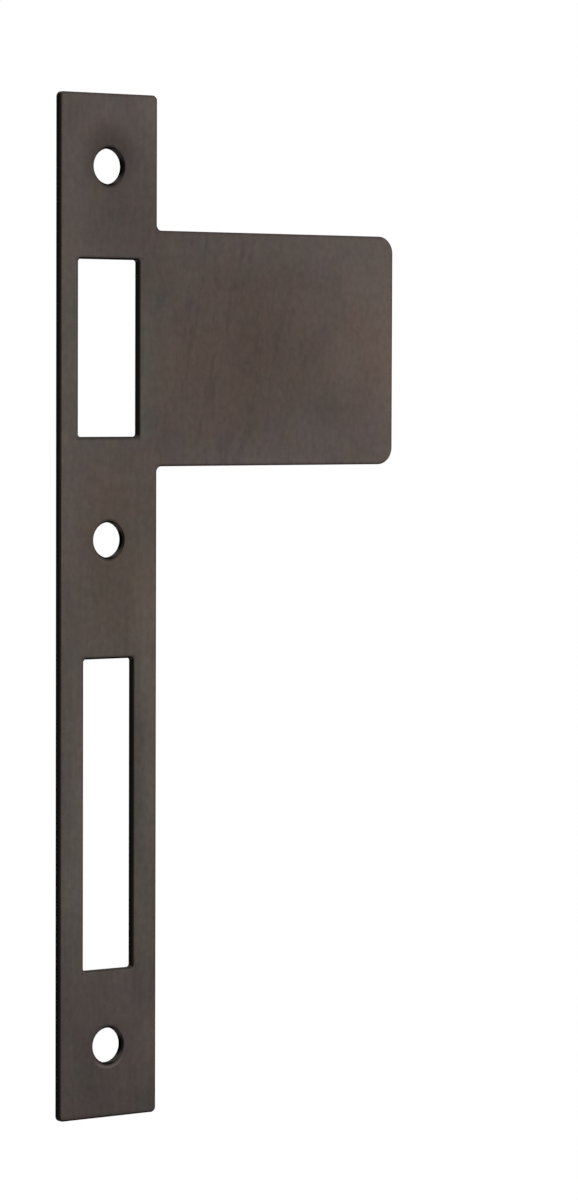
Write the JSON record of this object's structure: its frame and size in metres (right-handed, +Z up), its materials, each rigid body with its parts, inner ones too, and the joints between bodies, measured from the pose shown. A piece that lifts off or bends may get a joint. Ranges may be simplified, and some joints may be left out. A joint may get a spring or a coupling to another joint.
{
  "type": "door strike plate",
  "caption": "Flat strike plate for a door frame: a narrow upright plate with a latch opening, a bolt opening and screw holes on its mid-line, and a wide flat lip standing out to one side.",
  "frame": {"origin": "midway between the two end screw holes, on the plate's mid-line, in the plane of the back face", "axes": "+X from the narrow plate towards the lip, +Z up along the plate, +Y into the door frame, so the show face looks along -Y"},
  "size_m": [0.071, 0.0012, 0.174],
  "materials": {
    "plate": "fine vertical brushing under a dark bronze-brown patina, satin"
  },
  "bodies": {
    "root": {"strike_plate": "plate"}
  },
  "joints": []
}
